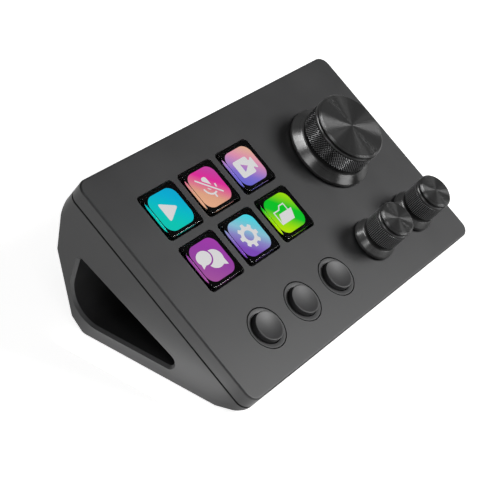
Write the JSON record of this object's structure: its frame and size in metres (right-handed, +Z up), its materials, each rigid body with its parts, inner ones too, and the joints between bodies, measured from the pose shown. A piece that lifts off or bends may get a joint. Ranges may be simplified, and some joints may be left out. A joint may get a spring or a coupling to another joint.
{
  "type": "macro keypad with knobs",
  "caption": "Sloping desktop control keypad with clear picture keys, round push buttons and knurled push-to-click knobs, on a wedge stand with a tunnel through it.",
  "frame": {"origin": "on the surface it stands on, under the middle of its box", "axes": "+X to the user's right along the keypad's width, +Y to the back, +Z up"},
  "size_m": [0.13, 0.0732, 0.0526],
  "materials": {
    "housing_plastic": "dark grey ABS, moulded with a fine matte texture",
    "foot_rubber": "matte black",
    "circuit_board": "solder mask",
    "component_black": "moulded",
    "bright_steel": "bright plated",
    "clear_acrylic": "clear, polished",
    "display_glass": "lit picture under glass",
    "ring_metal": "satin black",
    "button_plastic": "satin black",
    "knob_metal": "black anodised, turned and knurled",
    "disc_metal": "black anodised, spun top"
  },
  "bodies": {
    "housing": {"top_cover": "housing_plastic", "stand": "housing_plastic", "rubber_feet": "foot_rubber", "main_board": "circuit_board", "control_chip": "component_black", "cable_socket": "bright_steel", "board_screws": "bright_steel", "housing_screws": "bright_steel", "key_switches": "component_black", "button_switches": "component_black", "button_1_ring": "ring_metal", "button_2_ring": "ring_metal", "button_3_ring": "ring_metal", "big_encoder": "component_black", "left_encoder": "component_black", "right_encoder": "component_black"},
    "key_1": {"key_1_cap": "clear_acrylic", "key_1_display": "display_glass", "key_1_plunger": "component_black"},
    "key_2": {"key_2_cap": "clear_acrylic", "key_2_display": "display_glass", "key_2_plunger": "component_black"},
    "key_3": {"key_3_cap": "clear_acrylic", "key_3_display": "display_glass", "key_3_plunger": "component_black"},
    "key_4": {"key_4_cap": "clear_acrylic", "key_4_display": "display_glass", "key_4_plunger": "component_black"},
    "key_5": {"key_5_cap": "clear_acrylic", "key_5_display": "display_glass", "key_5_plunger": "component_black"},
    "key_6": {"key_6_cap": "clear_acrylic", "key_6_display": "display_glass", "key_6_plunger": "component_black"},
    "button_1": {"button_1_cap": "button_plastic", "button_1_plunger": "component_black"},
    "button_2": {"button_2_cap": "button_plastic", "button_2_plunger": "component_black"},
    "button_3": {"button_3_cap": "button_plastic", "button_3_plunger": "component_black"},
    "big_push": {"big_slider": "component_black"},
    "big_dial": {"big_knob": "knob_metal", "big_knob_disc": "disc_metal", "big_shaft": "bright_steel"},
    "left_push": {"left_slider": "component_black"},
    "left_dial": {"left_knob": "knob_metal", "left_knob_disc": "disc_metal", "left_shaft": "bright_steel"},
    "right_push": {"right_slider": "component_black"},
    "right_dial": {"right_knob": "knob_metal", "right_knob_disc": "disc_metal", "right_shaft": "bright_steel"}
  },
  "joints": [
    {"name": "key_1_press", "type": "slide", "parent": "housing", "child": "key_1", "axis": [0, 0.518, -0.8554], "range_m": [0, 0.0007], "stiffness_N_per_m": 1500, "springref_m": -0.0004},
    {"name": "key_2_press", "type": "slide", "parent": "housing", "child": "key_2", "axis": [0, 0.518, -0.8554], "range_m": [0, 0.0007], "stiffness_N_per_m": 1500, "springref_m": -0.0004},
    {"name": "key_3_press", "type": "slide", "parent": "housing", "child": "key_3", "axis": [0, 0.518, -0.8554], "range_m": [0, 0.0007], "stiffness_N_per_m": 1500, "springref_m": -0.0004},
    {"name": "key_4_press", "type": "slide", "parent": "housing", "child": "key_4", "axis": [0, 0.518, -0.8554], "range_m": [0, 0.0007], "stiffness_N_per_m": 1500, "springref_m": -0.0004},
    {"name": "key_5_press", "type": "slide", "parent": "housing", "child": "key_5", "axis": [0, 0.518, -0.8554], "range_m": [0, 0.0007], "stiffness_N_per_m": 1500, "springref_m": -0.0004},
    {"name": "key_6_press", "type": "slide", "parent": "housing", "child": "key_6", "axis": [0, 0.518, -0.8554], "range_m": [0, 0.0007], "stiffness_N_per_m": 1500, "springref_m": -0.0004},
    {"name": "button_1_press", "type": "slide", "parent": "housing", "child": "button_1", "axis": [0, 0.518, -0.8554], "range_m": [0, 0.0005], "stiffness_N_per_m": 2500, "springref_m": -0.0003},
    {"name": "button_2_press", "type": "slide", "parent": "housing", "child": "button_2", "axis": [0, 0.518, -0.8554], "range_m": [0, 0.0005], "stiffness_N_per_m": 2500, "springref_m": -0.0003},
    {"name": "button_3_press", "type": "slide", "parent": "housing", "child": "button_3", "axis": [0, 0.518, -0.8554], "range_m": [0, 0.0005], "stiffness_N_per_m": 2500, "springref_m": -0.0003},
    {"name": "big_push", "type": "slide", "parent": "housing", "child": "big_push", "axis": [0, 0.518, -0.8554], "range_m": [0, 0.0005], "stiffness_N_per_m": 4000, "springref_m": -0.0004},
    {"name": "big_turn", "type": "hinge", "parent": "big_push", "child": "big_dial", "pos_m": [0.0332, 0.00599, 0.03443], "axis": [0, -0.518, 0.8554], "continuous": true},
    {"name": "left_push", "type": "slide", "parent": "housing", "child": "left_push", "axis": [0, 0.518, -0.8554], "range_m": [0, 0.0005], "stiffness_N_per_m": 4000, "springref_m": -0.0004},
    {"name": "left_turn", "type": "hinge", "parent": "left_push", "child": "left_dial", "pos_m": [0.0207, -0.02228, 0.01731], "axis": [0, -0.518, 0.8554], "continuous": true},
    {"name": "right_push", "type": "slide", "parent": "housing", "child": "right_push", "axis": [0, 0.518, -0.8554], "range_m": [0, 0.0005], "stiffness_N_per_m": 4000, "springref_m": -0.0004},
    {"name": "right_turn", "type": "hinge", "parent": "right_push", "child": "right_dial", "pos_m": [0.0457, -0.02228, 0.01731], "axis": [0, -0.518, 0.8554], "continuous": true}
  ]
}
